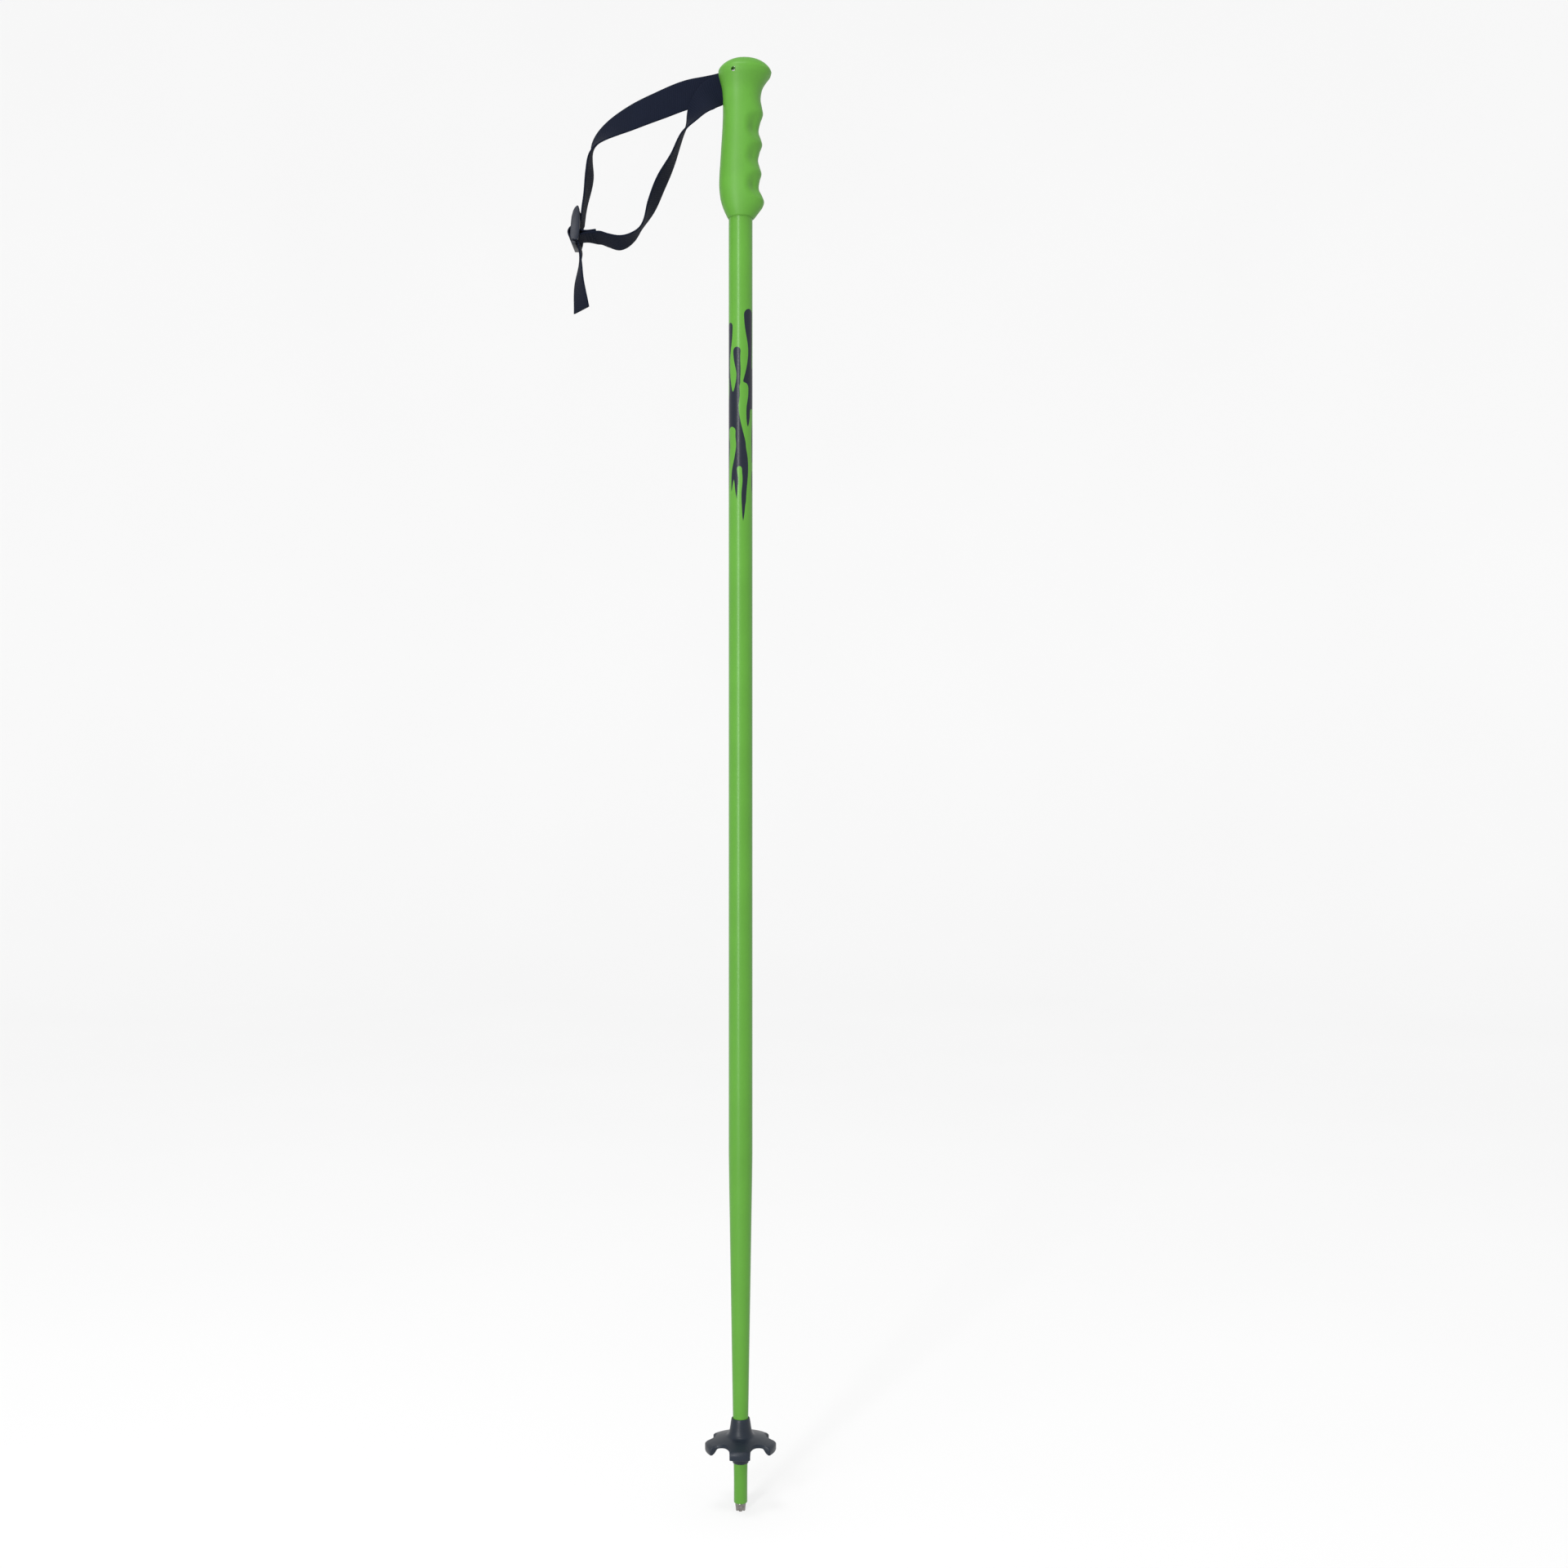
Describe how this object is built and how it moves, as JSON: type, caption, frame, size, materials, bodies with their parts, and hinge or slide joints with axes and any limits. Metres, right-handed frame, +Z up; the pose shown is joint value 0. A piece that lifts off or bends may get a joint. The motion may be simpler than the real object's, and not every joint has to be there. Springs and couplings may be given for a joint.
{
  "type": "ski pole",
  "caption": "Alpine ski pole with a tapered tube, moulded finger grip, adjustable wrist strap, lobed snow basket and toothed steel tip.",
  "frame": {"origin": "lowest point of the steel tip, on the shaft's axis", "axes": "+Z up the shaft towards the grip, +X towards the finger side of the grip, -X towards the wrist strap"},
  "size_m": [0.1559, 0.0525, 1.1],
  "materials": {
    "shaft_lacquer": "semi-gloss green lacquer over aluminium, with a dark printed flame pattern",
    "grip_plastic": "matt green moulding",
    "dark_plastic": "matt dark moulding",
    "buckle_plastic": "satin blue-black moulding",
    "basket_plastic": "satin blue-black moulding",
    "webbing": "woven blue-black webbing",
    "thread": "blue-black thread",
    "pin_steel": "bright drawn steel",
    "tip_steel": "bright turned steel"
  },
  "bodies": {
    "pole": {"shaft_tube": "shaft_lacquer", "shaft_top_plug": "dark_plastic", "grip": "grip_plastic", "strap_pin": "pin_steel", "tip_bush": "dark_plastic", "tip_crown": "tip_steel"},
    "strap_anchor": {"strap_root": "webbing", "strap_root_stitching": "thread"},
    "strap_loop": {"strap_rear_run": "webbing", "strap_front_run": "webbing", "strap_hem": "webbing", "strap_hem_stitching": "thread"},
    "buckle": {"strap_buckle": "buckle_plastic", "strap_tail": "webbing"},
    "basket": {"basket": "basket_plastic"}
  },
  "joints": [
    {"name": "strap_swing", "type": "hinge", "parent": "pole", "child": "strap_anchor", "pos_m": [-0.0051, 0, 1.0863], "axis": [0, 1, 0], "range_deg": [0, 10]},
    {"name": "strap_fold", "type": "hinge", "parent": "strap_anchor", "child": "strap_loop", "pos_m": [-0.0196, 0, 1.075], "axis": [0, 0, 1], "range_deg": [-55, 55]},
    {"name": "buckle_tilt", "type": "hinge", "parent": "strap_loop", "child": "buckle", "pos_m": [-0.1235, 0, 0.966], "axis": [0, -1, 0], "range_deg": [0, 40]},
    {"name": "basket_pull", "type": "slide", "parent": "pole", "child": "basket", "axis": [0, 0, -1], "range_m": [0, 0.08]}
  ]
}
